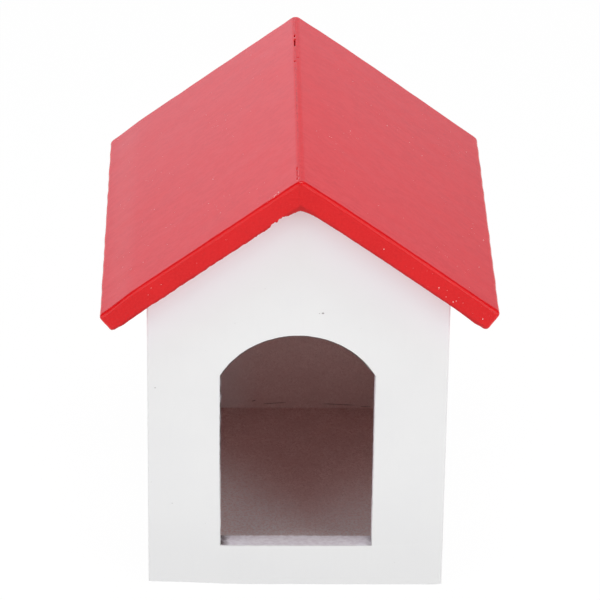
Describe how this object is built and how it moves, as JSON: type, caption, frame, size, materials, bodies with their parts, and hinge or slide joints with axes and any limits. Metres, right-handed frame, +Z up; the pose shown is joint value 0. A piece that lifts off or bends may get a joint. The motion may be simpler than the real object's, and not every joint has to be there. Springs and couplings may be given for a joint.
{
  "type": "small gabled house with an arched doorway",
  "caption": "Small open-fronted house of painted boards: white box, red gabled roof of two boards mitred at the ridge, and a large arched doorway over a low sill.",
  "frame": {"origin": "on the ground under the middle of the house", "axes": "+Z up, -Y towards the doorway, +X to the right of someone facing the doorway"},
  "size_m": [0.171, 0.176, 0.2035],
  "materials": {
    "white_painted_board": "matt white paint on fibreboard, bare inside",
    "red_painted_board": "glossy red paint on fibreboard",
    "bare_board": "bare brown fibreboard",
    "pin_steel": "plain steel wire"
  },
  "bodies": {
    "root": {"front_wall": "white_painted_board", "back_wall": "white_painted_board", "left_wall": "white_painted_board", "right_wall": "white_painted_board", "floor_board": "bare_board", "left_roof_board": "red_painted_board", "right_roof_board": "red_painted_board", "front_wall_pins": "pin_steel", "back_wall_pins": "pin_steel", "left_wall_pins": "pin_steel", "right_wall_pins": "pin_steel", "left_roof_pins": "pin_steel", "right_roof_pins": "pin_steel", "ridge_pins": "pin_steel"}
  },
  "joints": []
}
